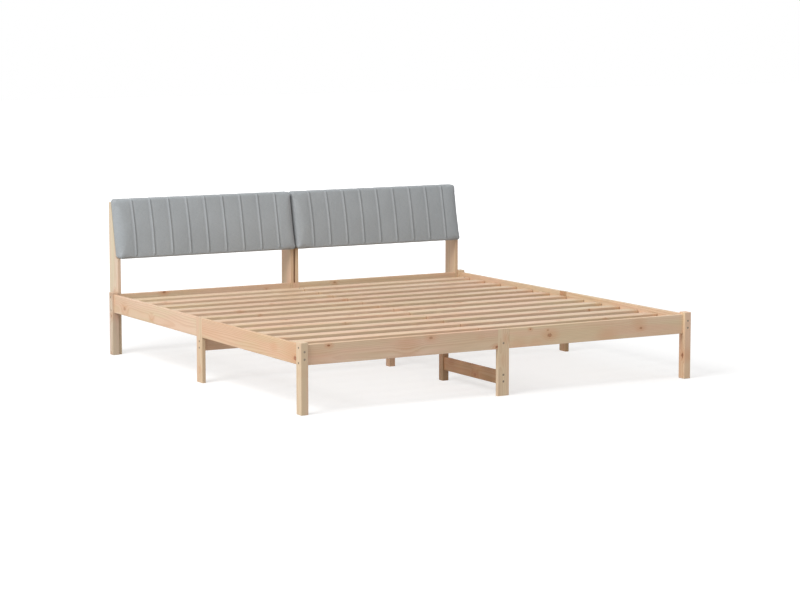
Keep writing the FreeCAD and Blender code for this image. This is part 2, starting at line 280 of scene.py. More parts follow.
def pine(name, grain, seed, knots, tone, in_halves=False):
    """Clear satin pine with its grain along one axis.

    The rings are cut from one log by a smooth field, so a board's faces, edges and ends agree.
    A knot is (place along the grain, place across it, radius, strength), and the tone
    multiplies the colour: the board's own tone, and painted shade on some boards under the bed.
    """
    dice = random.Random(seed)
    wood = Shader("pine_of_" + name)
    place = wood.add("TexCoord").outputs["Object"]
    split = wood.add("SeparateXYZ", inputs={0: place})
    axes = board_axes(name, grain)
    along, across, deep = [split.outputs[axis] for axis in axes]
    shift = [dice.uniform(-40, 40) for axis in axes]
    shifted_along = wood.sum("ADD", along, shift[0])
    if in_halves:
        side = wood.sum("GREATER_THAN", split.outputs[0], 0.0)
        shifted_along = wood.sum("ADD", shifted_along, wood.sum("MULTIPLY", side, 17.3))
    inputs = {
        0: shifted_along,
        1: wood.sum("ADD", across, shift[1]),
        2: wood.sum("ADD", deep, shift[2]),
    }
    shifted = wood.add("CombineXYZ", inputs=inputs).outputs[0]
    core, rim, halo = knot_marks(wood, along, across, shifted, knots)
    late = growth_rings(wood, name, axes, across, deep, shifted, halo, dice)
    strength = wood.ramp(wood.stretched_noise(shifted, (1.3, 14.0, 14.0)), 0.3, 0.75, 0.3, 0.8)
    fibres = wood.stretched_noise(shifted, (14.0, 1100.0, 1100.0), 3.0)
    patches = wood.ramp(wood.stretched_noise(shifted, (1.6, 11.0, 11.0), 3.0), 0.35, 0.7)

    colour = wood.blend(wood.sum("MULTIPLY", late, strength), EARLY_WOOD, LATE_WOOD)
    colour = wood.blend(wood.sum("MULTIPLY", patches, 0.45), colour, WARM_WOOD)
    hue = wood.ramp(wood.stretched_noise(shifted, (2.4, 19.0, 19.0)), 0.35, 0.65)
    colour = wood.blend(1.0, colour, wood.blend(hue, ROSY_CAST, YELLOW_CAST), "MULTIPLY")
    colour = wood.blend(wood.sum("MULTIPLY", halo, 0.55), colour, KNOT_HALO)
    # The tone: the board's own tone, and on some boards under the bed painted shade that darkens and warms
    # them
    colour = wood.blend(1.0, colour, (*tone, 1.0), "MULTIPLY")
    colour = wood.shaded(colour, wood.ramp(fibres, 0.3, 0.7, 0.94, 1.03))
    if any(knot[-1] > FAINT_KNOT for knot in knots):
        colour = wood.blend(core, colour, KNOT_WOOD)
        colour = wood.blend(wood.sum("MULTIPLY", rim, 0.55), colour, KNOT_RIM)
    wood.base("Base Color", colour)
    wood.base("Roughness", wood.ramp(wood.sum("ADD", fibres, late), 0.3, 1.6, 0.46, 0.62))
    wood.base("Specular IOR Level", 0.42)
    wood.base("Coat Weight", 0.06)
    wood.base("Coat Roughness", 0.35)
    height = wood.sum("ADD", wood.sum("MULTIPLY", late, 0.5), wood.sum("MULTIPLY", fibres, 0.6))
    wood.bump(height, 0.00012, 0.7)
    return wood.material


def plywood(name):
    """Thin rotary-cut plywood with a wide, faint figure."""
    wood = Shader("plywood_of_" + name)
    place = wood.add("TexCoord").outputs["Object"]
    figure = wood.stretched_noise(place, (1.6, 9.0, 9.0), 3.0)
    waves = wood.sum("SINE", wood.sum("MULTIPLY", figure, 42.0))
    pores = wood.stretched_noise(place, (30.0, 700.0, 700.0), 3.0)
    colour = wood.blend(wood.ramp(waves, -1.0, 1.0), srgb(214, 186, 148), srgb(200, 166, 124))
    colour = wood.shaded(colour, wood.ramp(pores, 0.3, 0.7, 0.92, 1.03))
    wood.base("Base Color", colour)
    wood.base("Roughness", wood.ramp(pores, 0.2, 0.8, 0.6, 0.75))
    wood.bump(pores, 0.0001, 0.6)
    return wood.material


def dress(name, material):
    """Gives a CAD node its finish."""
    mesh = nodes[name].data
    mesh.materials.clear()
    mesh.materials.append(material)


# Knots that show in the photograph, by board
SEEN_KNOTS = {
    "foot_rail_left": (
        (-0.886, 0.291, 0.0060, 1.0),
        (-0.950, 0.248, 0.022, 0.30),
        (-0.494, 0.262, 0.015, 0.44),
        (-0.377, 0.289, 0.008, 0.5),
        (-0.036, 0.223, 0.0065, 1.0),
        (-0.120, 0.271, 0.006, 0.2),
    ),
    "foot_rail_right": (
        (0.142, 0.2915, 0.0035, 0.9),
        (0.236, 0.281, 0.0035, 0.6),
        (0.247, 0.257, 0.011, 0.62),
        (0.740, 0.279, 0.010, 0.44),
        (0.750, 0.255, 0.007, 0.6),
        (0.080, 0.228, 0.014, 0.44),
        (0.170, 0.224, 0.012, 0.38),
        (0.560, 0.228, 0.014, 0.44),
    ),
    "foot_leg_right": (
        (0.110, -1.056, 0.010, 1.0),
        (0.145, -1.044, 0.011, 0.44),
        (0.020, -1.046, 0.012, 0.44),
        (0.065, -1.042, 0.011, 0.44),
        (0.190, -1.040, 0.010, 0.44),
    ),
    "foot_leg_left": ((0.180, -1.060, 0.006, 0.2),),
    "foot_centre_leg": ((0.258, 0.012, 0.006, 0.44), (0.160, -0.008, 0.008, 0.3)),
    "low_stretcher_foot": ((-0.830, 0.066, 0.009, 0.7), (-0.62, 0.094, 0.006, 0.4)),
    "side_rail_left_foot": (
        (-1.002, 0.239, 0.012, 1.0),
        (-1.000, 0.262, 0.026, 0.44),
        (-0.800, 0.265, 0.009, 0.4),
    ),
    "side_rail_left_head": ((0.825, 0.248, 0.012, 0.5), (0.5, 0.243, 0.008, 0.4)),
    "mid_leg_left": ((0.060, -0.042, 0.006, 0.4),),
}

# Boards that are lighter or darker than the rest, as red, green and blue factors. The foot and head
# stretchers, the foot post, the right mid leg and the foot half of the left side rail are darkened and
# warmed as painted shade under the bed; the other factors are board tone.
BOARD_TONES_AND_PAINTED_SHADE = {
    "foot_rail_left": (1.05, 1.03, 1.06),
    "foot_rail_right": (1.10, 1.11, 1.10),
    "foot_leg_right": (1.14, 1.12, 1.12),
    "foot_centre_leg": (1.10, 1.13, 1.16),
    "low_stretcher_foot": (0.67, 0.53, 0.42),
    "low_stretcher_head": (0.76, 0.65, 0.55),
    "centre_post_foot": (0.58, 0.48, 0.40),
    "centre_post_mid": (1.05, 0.95, 0.94),
    "mid_leg_right": (0.72, 0.61, 0.51),
    "side_rail_left_foot": (0.95, 0.88, 0.81),
    "headboard_upright_left": (0.98, 1.08, 1.16),
    "head_leg_left": (0.91, 0.96, 1.06),
}

GRAIN_BY_WORD = (
    ("slat_row", "x"),
    ("headboard_rail", "x"),
    ("headboard", "z"),
    ("leg", "z"),
    ("post", "z"),
    ("side_rail", "y"),
    ("foot_rail", "x"),
    ("head_rail", "x"),
    ("cross_beam", "x"),
    ("centre_beam", "y"),
    ("stretcher", "y"),
    ("cleat", "y"),
    ("splice", "x"),
)


def guessed_knots(name, grain, dice, count):
    """A few knots on a board that the photograph doesn't show."""
    low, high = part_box(name)
    along, across = board_axes(name, grain)[:2]
    knots = []
    for _ in range(count):
        place_along = dice.uniform(low[along], high[along])
        place_across = dice.uniform(low[across], high[across])
        knots.append((place_along, place_across, dice.uniform(0.003, 0.008), dice.uniform(0.4, 0.95)))
    return knots


def finish_timber():
    """A finish of its own for each timber node."""
    for index, name in enumerate(sorted(nodes)):
        grain = next((axis for word, axis in GRAIN_BY_WORD if word in name), None)
        if grain is None:
            continue
        dice = random.Random(100 + index)
        slats = name.startswith("slat_row")
        knots = SEEN_KNOTS.get(name)
        if knots is None:
            knots = guessed_knots(name, grain, dice, dice.randint(2, 4) if slats else dice.randint(1, 3))
        shade = dice.uniform(0.98, 1.05) if slats else dice.uniform(0.97, 1.02)
        # Listed tones darken some boards under the bed as painted shade; the random shade and the other
        # listed tones are board tone
        tone = BOARD_TONES_AND_PAINTED_SHADE.get(name, (shade, shade, shade))
        dress(name, pine(name, grain, index, knots, tone, slats))
    for name in ("cushion_board_left", "cushion_board_right"):
        dress(name, plywood(name))


# Metal, webbing and cushion cover

def dull_steel():
    """Zinc-plated fixings, dulled and slightly blotched."""
    steel = Shader("dull_zinc_steel")
    place = steel.add("TexCoord").outputs["Object"]
    blotch = steel.stretched_noise(place, (420, 420, 420), 3.0)
    steel.base("Base Color", steel.blend(blotch, srgb(176, 162, 144), srgb(130, 116, 100)))
    steel.base("Metallic", 1.0)
    steel.base("Roughness", steel.ramp(blotch, 0.3, 0.7, 0.34, 0.52))
    steel.bump(blotch, 0.00005, 0.5)
    return steel.material


def woven_tape():
    """Cream webbing with a close twill weave."""
    tape = Shader("cream_webbing")
    place = tape.add("TexCoord").outputs["Object"]
    split = tape.add("SeparateXYZ", inputs={0: place})
    across = tape.sum("SINE", tape.sum("MULTIPLY", split.outputs[0], 2 * math.pi / 0.0021))
    along = tape.sum("SINE", tape.sum("MULTIPLY", split.outputs[1], 2 * math.pi / 0.0017))
    weave = tape.sum("MULTIPLY", across, along)
    fuzz = tape.stretched_noise(place, (900, 900, 900), 2.0)
    colour = tape.blend(tape.ramp(weave, -1.0, 1.0), srgb(196, 190, 176), srgb(226, 221, 208))
    colour = tape.shaded(colour, tape.ramp(fuzz, 0.3, 0.7, 0.93, 1.03))
    tape.base("Base Color", colour)
    tape.base("Roughness", tape.ramp(fuzz, 0.2, 0.8, 0.78, 0.9))
    tape.bump(weave, 0.0003, 0.8)
    return tape.material


COVER_LIGHT = srgb(177, 182, 185)
COVER_DARK = srgb(157, 162, 165)
THREAD_PITCH = 0.0014


def sewing_thread():
    """Matt grey thread, a little lighter than the cover."""
    thread = Shader("grey_thread")
    place = thread.add("TexCoord").outputs["Object"]
    twist = thread.stretched_noise(place, (1500, 1500, 1500))
    thread.base("Base Color", thread.blend(twist, srgb(168, 173, 174), srgb(194, 199, 200)))
    thread.base("Roughness", 0.75)
    return thread.material


def woven_cover():
    """Soft grey cover in a plain weave of slightly mixed yarns."""
    cover = Shader("grey_woven_cover")
    place = cover.add("TexCoord").outputs["Object"]
    split = cover.add("SeparateXYZ", inputs={0: place})
    run = cover.sum("ADD", split.outputs[0], split.outputs[1])
    rise = cover.sum("SUBTRACT", split.outputs[2], cover.sum("MULTIPLY", split.outputs[1], 0.6))
    bend = cover.sum("MULTIPLY", cover.stretched_noise(place, (30, 30, 30)), 0.002)
    turn = 2 * math.pi / THREAD_PITCH
    weft = cover.sum("SINE", cover.sum("MULTIPLY", cover.sum("ADD", run, bend), turn))
    warp = cover.sum("SINE", cover.sum("MULTIPLY", cover.sum("ADD", rise, bend), turn))
    weave = cover.sum("MULTIPLY", weft, warp)
    flat = cover.add("CombineXYZ", inputs={0: run, 1: rise, 2: 0.0}).outputs[0]
    slubs_across = cover.stretched_noise(flat, (60.0, 900.0, 1.0), 3.0)
    slubs_up = cover.stretched_noise(flat, (900.0, 60.0, 1.0), 3.0)
    slubs = cover.sum("MULTIPLY", cover.sum("ADD", slubs_across, slubs_up), 0.5)
    cloudy = cover.stretched_noise(place, (7.0, 7.0, 7.0), 3.0)
    tone = cover.sum("ADD", cover.sum("MULTIPLY", slubs, 0.8), cover.sum("MULTIPLY", cloudy, 0.2))
    colour = cover.blend(cover.ramp(tone, 0.3, 0.7), COVER_DARK, COVER_LIGHT)
    colour = cover.shaded(colour, cover.ramp(weave, -1.0, 1.0, 0.93, 1.04))
    cover.base("Base Color", colour)
    cover.base("Roughness", cover.ramp(slubs, 0.3, 0.7, 0.82, 0.94))
    cover.base("Specular IOR Level", 0.2)
    cover.base("Sheen Weight", 0.25)
    cover.base("Sheen Roughness", 0.5)
    height = cover.sum("ADD", cover.sum("MULTIPLY", weave, 0.5), slubs)
    cover.bump(height, 0.0004, 0.8)
    return cover.material


# Pieces made of points and faces

def add_piece(name, points, faces, material):
    """A new piece of the frame that rides with the rest."""
    mesh = bpy.data.meshes.new(name)
    mesh.from_pydata(points, [], faces)
    mesh.materials.append(material)
    mesh.update()
    piece = bpy.data.objects.new(name, mesh)
    collection.objects.link(piece)
    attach(piece, "root")
    return piece


def add_rod(points, faces, start, end, radius, sides=6):
    """A short rod with flat ends."""
    along = (end - start).normalized()
    across = along.orthogonal().normalized()
    other = along.cross(across)
    base = len(points)
    for centre in (start, end):
        for count in range(sides):
            angle = 2 * math.pi * count / sides
            points.append(centre + (across * math.cos(angle) + other * math.sin(angle)) * radius)
    for count in range(sides):
        after = (count + 1) % sides
        faces.append((base + count, base + after, base + sides + after, base + sides + count))
    faces.append(tuple(range(base + sides - 1, base - 1, -1)))
    faces.append(tuple(range(base + sides, base + 2 * sides)))


def add_head(points, faces, place, axis):
    """A low round screw head with a cross recess, standing on a face."""
    across = axis.orthogonal().normalized()
    other = axis.cross(across)

    def ring(spots, height):
        first = len(points)
        for x, y in spots:
            points.append(place + across * x + other * y + axis * height)
        return list(range(first, len(points)))

    def wall(low_ring, high_ring):
        for count in range(len(low_ring)):
            after = (count + 1) % len(low_ring)
            faces.append((low_ring[count], low_ring[after], high_ring[after], high_ring[count]))

    def circle(radius):
        turns = [2 * math.pi * count / HEAD_SIDES for count in range(HEAD_SIDES)]
        return [(radius * math.cos(turn), radius * math.sin(turn)) for turn in turns]

    arm = HEAD_RADIUS * 0.55
    half = HEAD_RADIUS * 0.13
    cross = []
    for cosine, sine in ((1, 0), (0, 1), (-1, 0), (0, -1)):
        for x, y in ((arm, 0), (arm, half), (half, half), (half, arm)):
            cross.append((x * cosine - y * sine, x * sine + y * cosine))
    foot = ring(circle(HEAD_RADIUS), 0)
    shoulder = ring(circle(HEAD_RADIUS), HEAD_PROUD * 0.4)
    crown = ring(circle(HEAD_RADIUS * 0.75), HEAD_PROUD)
    mouth = ring(cross, HEAD_PROUD)
    bed = ring(cross, HEAD_PROUD * 0.15)
    wall(foot, shoulder)
    wall(shoulder, crown)
    wall(bed[::-1], mouth[::-1])
    faces.append(tuple(bed))
    quarter = HEAD_SIDES // 4
    for turn in range(4):
        outside = [crown[(turn * quarter + step) % HEAD_SIDES] for step in range(quarter + 1)]
        inside = [mouth[(turn * 4 + step) % 16] for step in range(5)]
        faces.append(tuple(outside + inside[::-1]))


def solid_boxes(name):
    """The box of each separate solid of a CAD node."""
    shape = bmesh.new()
    shape.from_mesh(nodes[name].data)
    shape.transform(nodes[name].matrix_world)
    bmesh.ops.remove_doubles(shape, verts=shape.verts, dist=0.00001)
    unseen = set(shape.verts)
    boxes = []
    while unseen:
        edge_of_group = [unseen.pop()]
        group = []
        while edge_of_group:
            vertex = edge_of_group.pop()
            group.append(vertex.co.copy())
            for edge in vertex.link_edges:
                other = edge.other_vert(vertex)
                if other in unseen:
                    unseen.remove(other)
                    edge_of_group.append(other)
        low = Vector([min(place[axis] for place in group) for axis in range(3)])
        high = Vector([max(place[axis] for place in group) for axis in range(3)])
        boxes.append((low, high))
    shape.free()
    return sorted(boxes, key=lambda box: tuple(box[0]))


# Wood screws and webbing

def make_wood_screws(steel):
    """Heads in the cleats, the splice boards, the outer slats and the headboard rails."""
    points = []
    faces = []

    def head(place, axis):
        add_head(points, faces, Vector(place), Vector(axis).normalized())

    for side, name in ((-1, "left"), (1, "right")):
        for end in ("foot", "head"):
            low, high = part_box("slat_cleat_" + name + "_" + end)
            inner = low.x if side > 0 else high.x
            for share in CLEAT_SCREW_SHARES:
                place = (inner, low.y + share * (high.y - low.y), (low.z + high.z) / 2)
                head(place, (-side, 0, 0))
        for level in ("lower", "upper"):
            low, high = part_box("headboard_rail_" + name + "_" + level)
            back = Vector((0, 1, -SLANT_SLOPE)).normalized()
            middle = (low + high) / 2 + back * BOARD_THICKNESS / 2
            for share in HEADBOARD_SCREW_SHARES:
                head(middle + Vector((share * (high.x - low.x), 0, 0)), back)
    for name in ("slat_row_01", "slat_row_13"):
        for low, high in solid_boxes(name):
            for x in (low.x + SLAT_SCREW_INSET, high.x - SLAT_SCREW_INSET):
                head((x, (low.y + high.y) / 2, high.z), (0, 0, 1))

    middle_y = sum(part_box("centre_post_mid")[end].y for end in (0, 1)) / 2
    for low, high in solid_boxes("splice_boards"):
        size = high - low
        centre = (low + high) / 2
        tie = abs(centre.y - middle_y) > MIDDLE_REACH
        for share in TIE_SCREW_SHARES if tie else SPLICE_SCREW_SHARES:
            rise = centre.z + (SPLICE_SCREW_RISE if share < 0.5 else -SPLICE_SCREW_RISE)
            if size.x < size.y:
                head((high.x, low.y + share * size.y, rise), (1, 0, 0))
                continue
            x = low.x + share * size.x if centre.x >= 0 else high.x - share * size.x
            inwards = -1 if centre.y > middle_y + MIDDLE_REACH else 1
            head((x, high.y if inwards > 0 else low.y, rise), (0, inwards, 0))
    add_piece("wood_screws", points, faces, steel)


def tape_drop(y, gaps):
    """How far a tape sags at a place between two slats."""
    for low, high in gaps:
        if low < y < high:
            return TAPE_SAG * math.sin(math.pi * (y - low) / (high - low))
    return 0.0


def make_webbing(material, steel):
    """Four tapes stapled under the slats, slightly slack between them."""
    slats = [name for name in sorted(nodes) if name.startswith("slat_row")]
    spans = [(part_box(name)[0].y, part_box(name)[1].y) for name in slats]
    gaps = [(near[1], far[0]) for near, far in zip(spans, spans[1:])]
    staple_points = []
    staple_faces = []
    for index, (low, high) in enumerate(solid_boxes("slat_webbing")):
        steps = math.ceil((high.y - low.y) / TAPE_STEP)
        points = []
        faces = []
        for step in range(steps + 1):
            y = low.y + (high.y - low.y) * step / steps
            drop = tape_drop(y, gaps)
            for x, z in (
                (low.x, (low.z + high.z) / 2),
                (low.x + TAPE_EDGE, low.z),
                (high.x - TAPE_EDGE, low.z),
                (high.x, (low.z + high.z) / 2),
                (high.x - TAPE_EDGE, high.z),
                (low.x + TAPE_EDGE, high.z),
            ):
                points.append((x, y, z - drop))
        for step in range(steps):
            for corner in range(6):
                after = (corner + 1) % 6
                ring = (corner, after, after + 6, corner + 6)
                faces.append(tuple(step * 6 + number for number in ring))
        faces.append((5, 4, 3, 2, 1, 0))
        faces.append(tuple(steps * 6 + corner for corner in range(6)))
        tape = add_piece("webbing_tape_%d" % (index + 1), points, faces, material)
        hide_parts("slat_webbing")
        for near, far in spans:
            middle = Vector(((low.x + high.x) / 2, (near + far) / 2, low.z))
            half = Vector((STAPLE_LENGTH / 2, 0, 0))
            add_rod(staple_points, staple_faces, middle - half, middle + half, STAPLE_RADIUS)
    add_piece("tape_staples", staple_points, staple_faces, steel)


# Cushions

# Where a point of the cover lies on the square block, before it is rounded and swollen
Flat = namedtuple("Flat", "x z depth in_front at_back")


def stepped(marks, pitch):
    """The marks in order, with even steps no longer than the pitch between them."""
    marks = sorted(set(round(mark, 6) for mark in marks))
    places = []
    for low, high in zip(marks, marks[1:]):
        count = max(1, math.ceil((high - low) / pitch - 0.01))
        places += [low + (high - low) * step / count for step in range(count)]
    return places + [marks[-1]]


def edge_marks(low, high, reach, pitch):
    """Close marks over a rounded edge at both ends of a side."""
    count = max(2, math.ceil(reach / pitch))
    marks = []
    for step in range(count + 1):
        marks += [low + reach * step / count, high - reach * step / count]
    return marks


def quarter_round(inward, forward):
    """Bends a square edge round: distances from the inner side of the edge, as parts of one."""
    largest = max(inward, forward)
    if largest <= 0:
        return inward, forward
    scale = largest / math.hypot(inward, forward)
    return inward * scale, forward * scale


class CushionForm:
    """The shape of one cushion in its own plane: x outwards, z up, depth out from the back."""

    def __init__(self, side, low, high):
        outer = max(abs(low.x), abs(high.x))
        self.side = side
        self.inner = min(abs(low.x), abs(high.x))
        self.width = outer - self.inner
        self.height = high.z - low.z
        self.depth = CUSHION_DEPTH
        self.foot = low.z
        self.back_at_foot = high.y - self.height * SLANT_SLOPE
        count = math.ceil((outer - NARROWEST_CHANNEL) / CHANNEL_PITCH)
        self.seams = [number * CHANNEL_PITCH - self.inner for number in range(1, count)]

    def placed(self, x, z, depth):
        """A point of the cushion's own plane, in the frame's axes."""
        y = self.back_at_foot + z * SLANT_SLOPE - depth
        return self.side * (self.inner + x), y, self.foot + z

    def rounded(self, x, z, depth):
        """A point of the square block moved on to the rounded one."""
        inner_x = min(max(x, CORNER_EDGE), self.width - CORNER_EDGE)
        inner_z = min(max(z, CORNER_EDGE), self.height - CORNER_EDGE)
        off_x = x - inner_x
        off_z = z - inner_z
        if off_x and off_z:
            scale = max(abs(off_x), abs(off_z)) / math.hypot(off_x, off_z)
            off_x *= scale
            off_z *= scale
        reach = math.hypot(off_x, off_z)
        if not reach:
            return inner_x, inner_z, depth
        in_front = depth > self.depth / 2
        edge = FRONT_EDGE if in_front else BACK_EDGE
        inset = CORNER_EDGE - reach
        over_side = 1 - inset / edge
        over_face = (depth - (self.depth - edge)) / edge if in_front else (edge - depth) / edge
        if over_side > 0 and over_face > 0:
            over_side, over_face = quarter_round(over_side, over_face)
            inset = edge * (1 - over_side)
            depth = self.depth - edge * (1 - over_face) if in_front else edge * (1 - over_face)
        scale = (CORNER_EDGE - inset) / reach
        return inner_x + off_x * scale, inner_z + off_z * scale, depth

    def edge_fade(self, x, z, reach):
        """1 on the face, falling to 0 at its edges."""
        nearest = min(x, self.width - x, z, self.height - z)
        return max(0.0, min(1.0, nearest / reach))

    def seam_fade(self, z, depth):
        """1 along the sewn part of a seam, falling to 0 at its foot and behind the top edge."""
        above_foot = (z / self.height - SEAM_FOOT_SHARE) / SEAM_FADE_SHARE
        before_back = (depth - (self.depth - SEAM_REACH_BACK)) / SEAM_REACH_BACK * 2
        return max(0.0, min(1.0, above_foot, before_back))

    def top_dip(self, x, z):
        """How far the top edge is drawn down by the nearest seam."""
        height_share = (z / self.height - TOP_DIP_START_SHARE) / (1 - TOP_DIP_START_SHARE)
        nearest = min(abs(x - seam) for seam in self.seams)
        near_share = max(0.0, 1 - nearest / TOP_DIP_REACH)
        return TOP_DIP * max(0.0, height_share) * near_share * near_share

    def channel_share(self, x):
        """How far into its channel a place lies: 0 on a seam, 1 midway between two."""
        stops = [0.0] + self.seams + [self.width]
        for low, high in zip(stops, stops[1:]):
            if low <= x <= high:
                share = (x - low) / (high - low)
                return 4 * share * (1 - share)
        return 0.0


def cushion_block(form):
    """A closed mesh over one cushion before it swells, with close columns at edges and seams."""
    x_marks = edge_marks(0.0, form.width, CORNER_EDGE, EDGE_PITCH)
    z_marks = edge_marks(0.0, form.height, CORNER_EDGE, EDGE_PITCH)
    inside = BOARD_BORDER + POCKET_HAIR
    for marks, size in ((x_marks, form.width), (z_marks, form.height)):
        marks += [BOARD_BORDER, inside, size - BOARD_BORDER, size - inside]
    for seam in form.seams:
        x_marks += [seam + form.side * offset for offset in SEAM_OFFSETS]
    z_marks += [form.height * SEAM_FOOT_SHARE, form.height * (SEAM_FOOT_SHARE + SEAM_FADE_SHARE)]
    x_places = stepped(x_marks, MESH_PITCH)
    z_places = stepped(z_marks, MESH_PITCH)
    d_marks = [0.0, BACK_EDGE / 2, BACK_EDGE, form.depth - FRONT_EDGE, form.depth]
    d_marks += [form.depth - FRONT_EDGE * share for share in (0.25, 0.5, 0.75)]
    d_places = stepped(d_marks, MESH_PITCH)
    last_x = len(x_places) - 1
    last_z = len(z_places) - 1
    last_d = len(d_places) - 1
    points = []
    flats = []
    numbers = {}

    def corner(i, j, k):
        key = (i, j, k)
        if key not in numbers:
            numbers[key] = len(points)
            flats.append(Flat(x_places[i], z_places[j], d_places[k], k == last_d, k == 0))
            points.append(form.rounded(x_places[i], z_places[j], d_places[k]))
        return numbers[key]

    faces = []
    for i in range(last_x):
        for j in range(last_z):
            for k, flip in ((0, False), (last_d, True)):
                ring = [corner(i, j, k), corner(i, j + 1, k), corner(i + 1, j + 1, k), corner(i + 1, j, k)]
                faces.append(ring[::-1] if flip else ring)
    for k in range(last_d):
        for i in range(last_x):
            for j, flip in ((0, False), (last_z, True)):
                ring = [corner(i, j, k), corner(i + 1, j, k), corner(i + 1, j, k + 1), corner(i, j, k + 1)]
                faces.append(ring[::-1] if flip else ring)
        for j in range(last_z):
            for i, flip in ((0, True), (last_x, False)):
                ring = [corner(i, j, k), corner(i, j + 1, k), corner(i, j + 1, k + 1), corner(i, j, k + 1)]
                faces.append(ring[::-1] if flip else ring)
    return points, flats, faces


def crowned(form, points, flats, swell):
    """The block's points with the crown, the channels, the drawn-in sides and the board's pocket."""
    shaped = []
    pocket_edge = BOARD_BORDER + POCKET_HAIR / 2
    for (x, z, depth), flat in zip(points, flats):
        up = z / form.height
        hump = math.sin(math.pi * min(max(up, 0.0), 1.0))
        if flat.in_front:
            depth += CUSHION_CROWN * hump * math.sin(math.pi / 2 * form.edge_fade(x, z, CROWN_FADE))
            depth += swell * form.channel_share(x) * form.edge_fade(x, z, EDGE_FADE)
        over_board = (
            pocket_edge < flat.x < form.width - pocket_edge
            and pocket_edge < flat.z < form.height - pocket_edge
        )
        if flat.at_back and over_board:
            depth += BOARD_RECESS
        elif not flat.at_back:
            draw = SIDE_DRAW * hump * min(1.0, depth / form.depth)
            x += draw * (1 - 2 * x / form.width)
            z -= form.top_dip(x, z)
        shaped.append((x, z, depth))
    return shaped


def puffed(piece, form, flats):
    """Swells the cover as cloth under pressure, held at its seams and its back."""
    held = piece.vertex_groups.new(name="held")
    for number, flat in enumerate(flats):
        by_seam = any(abs(flat.x - seam) < SEAM_HOLD for seam in form.seams)
        if flat.depth < SIDE_HOLD or (flat.depth > form.depth - SEAM_REACH_BACK and by_seam):
            held.add([number], 1.0, "REPLACE")
    start = [vertex.co.copy() for vertex in piece.data.vertices]
    cloth = piece.modifiers.new("cover", "CLOTH")
    cloth.settings.effector_weights.gravity = 0.0
    cloth.settings.quality = 6
    cloth.settings.mass = 0.25
    cloth.settings.tension_stiffness = 18.0
    cloth.settings.compression_stiffness = 12.0
    cloth.settings.shear_stiffness = 6.0
    cloth.settings.bending_stiffness = 0.3
    cloth.settings.use_pressure = True
    cloth.settings.uniform_pressure_force = CLOTH_PRESSURE
    cloth.settings.vertex_group_mass = "held"
    scene = bpy.context.scene
    for step in range(1, CLOTH_FRAMES + 1):
        scene.frame_set(step)
    settled = piece.evaluated_get(bpy.context.evaluated_depsgraph_get()).to_mesh()
    moved = [vertex.co.copy() for vertex in settled.vertices]
    piece.evaluated_get(bpy.context.evaluated_depsgraph_get()).to_mesh_clear()
    piece.modifiers.remove(cloth)
    scene.frame_set(1)
    for vertex, before, after in zip(piece.data.vertices, start, moved):
        step = after - before
        if step.length > SWELL_CAP:
            step *= SWELL_CAP / step.length
        vertex.co = before + step


def sew(piece, form, flats, seed):
    """Raises the stitched tucks, and ruffles the cover slightly."""
    piece.data.update()
    normals = [vertex.normal.copy() for vertex in piece.data.vertices]
    for vertex, normal, flat in zip(piece.data.vertices, normals, flats):
        if flat.depth < form.depth / 2:
            continue
        place = Vector((flat.x * 24 + seed, flat.z * 16, flat.depth * 24))
        vertex.co += normal * noise.noise(place) * RUFFLE
        for seam in form.seams:
            offset = form.side * (flat.x - seam)
            if not SEAM_OFFSETS[0] - MARK_SLIP < offset < SEAM_OFFSETS[-1] + MARK_SLIP:
                continue
            nearest = min(range(len(SEAM_OFFSETS)), key=lambda index: abs(SEAM_OFFSETS[index] - offset))
            vertex.co += normal * SEAM_LIFTS[nearest] * form.seam_fade(flat.z, flat.depth)


def stitch(piece, form, flats, material):
    """A row of stitches on the flank of every seam's tuck, over the cushion's front."""
    points = []
    faces = []
    vertices = piece.data.vertices
    for seam in form.seams:
        place = seam + form.side * STITCH_OFFSET
        column = []
        for vertex, flat in zip(vertices, flats):
            sewn = form.seam_fade(flat.z, flat.depth) > STITCHED_SHARE
            if flat.in_front and sewn and abs(flat.x - place) < MARK_SLIP:
                column.append(vertex)
        column.sort(key=lambda vertex: vertex.co.z)
        run = 0.0
        for below, above in zip(column, column[1:]):
            reach = (above.co - below.co).length
            while run < reach:
                middle = below.co.lerp(above.co, run / reach) + below.normal * STITCH_RADIUS * 0.4
                half = (above.co - below.co) * (STITCH_LENGTH / 2 / reach)
                add_rod(points, faces, middle - half, middle + half, STITCH_RADIUS)
                run += STITCH_PITCH
            run -= reach
    add_piece(piece.name.replace("padded", "stitches_of"), points, faces, material)


def flat_piece(name, points, faces):
    """A new object in a cushion's own plane, its depth towards -Y and its faces outwards."""
    mesh = bpy.data.meshes.new(name)
    mesh.from_pydata([(x, -depth, z) for x, z, depth in points], [], faces)
    piece = bpy.data.objects.new(name, mesh)
    collection.objects.link(piece)
    shape = bmesh.new()
    shape.from_mesh(mesh)
    bmesh.ops.recalc_face_normals(shape, faces=shape.faces)
    shape.to_mesh(mesh)
    shape.free()
    return piece


def staple_cover(name, form, steel):
    """Staples along the lower and upper edge of a cushion's back."""
    points = []
    faces = []
    half = Vector((STAPLE_LENGTH / 2, 0, 0))
    reach = form.width - 2 * STAPLE_PITCH
    count = int(reach / STAPLE_PITCH)
    for height in (BOARD_BORDER / 2, form.height - BOARD_BORDER / 2):
        for step in range(count + 1):
            middle = Vector(form.placed(STAPLE_PITCH + reach * step / count, height, 0))
            add_rod(points, faces, middle - half, middle + half, STAPLE_RADIUS)
    add_piece("cover_staples_" + name, points, faces, steel)


